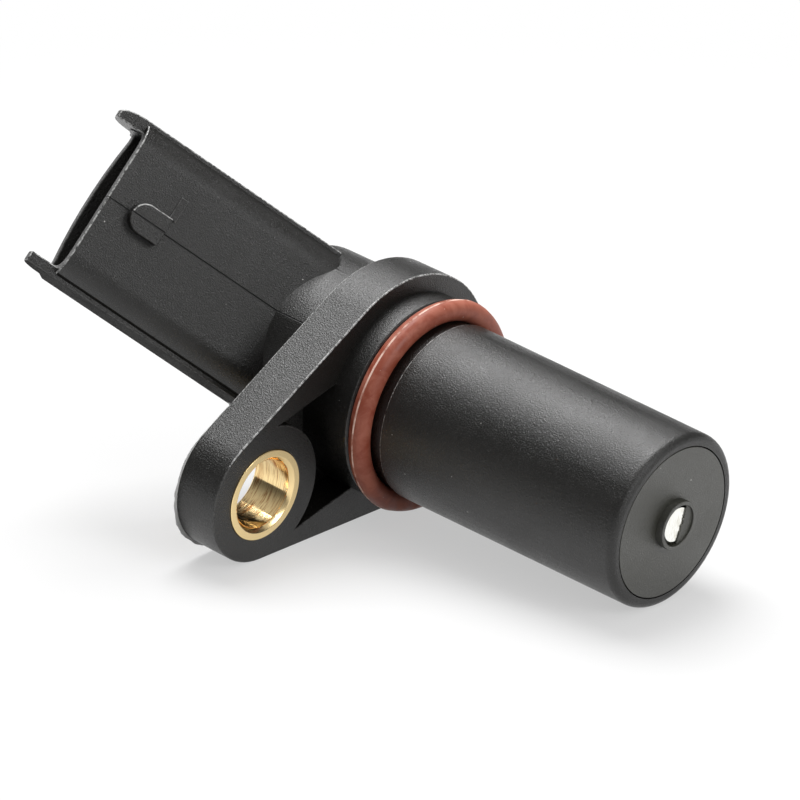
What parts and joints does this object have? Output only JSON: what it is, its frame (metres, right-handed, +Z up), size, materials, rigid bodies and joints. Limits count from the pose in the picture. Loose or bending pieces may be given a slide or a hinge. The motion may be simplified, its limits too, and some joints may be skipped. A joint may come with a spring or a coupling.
{
  "type": "crankshaft position sensor",
  "caption": "Induction sensor with a sealed round barrel, a one-bolt flange with a bush and an angled plug, which reads the teeth of an engine's trigger wheel.",
  "frame": {"origin": "on the barrel's axis, in the plane of the flange's mounting face", "axes": "+X along the barrel to its tip, +Z up with the flange's straight lower edge level, the bolt hole towards -Y"},
  "size_m": [0.0631, 0.0386, 0.0366],
  "materials": {
    "housing_black": "satin, fine moulded grain",
    "former_black": "satin",
    "seal_red": "semi-matt",
    "bush_brass": "turned, bright",
    "winding_copper": "enamelled",
    "pin_iron": "bright",
    "magnet_grey": "matt",
    "terminal_tin": "tinned"
  },
  "bodies": {
    "root": {"housing": "housing_black", "o_ring": "seal_red", "bush": "bush_brass", "coil_former": "former_black", "coil_winding": "winding_copper", "pole_pin": "pin_iron", "magnet": "magnet_grey", "terminal_coil_a": "terminal_tin", "terminal_coil_b": "terminal_tin", "terminal_screen": "terminal_tin", "coil_lead_a": "winding_copper", "coil_lead_b": "winding_copper"}
  },
  "joints": []
}
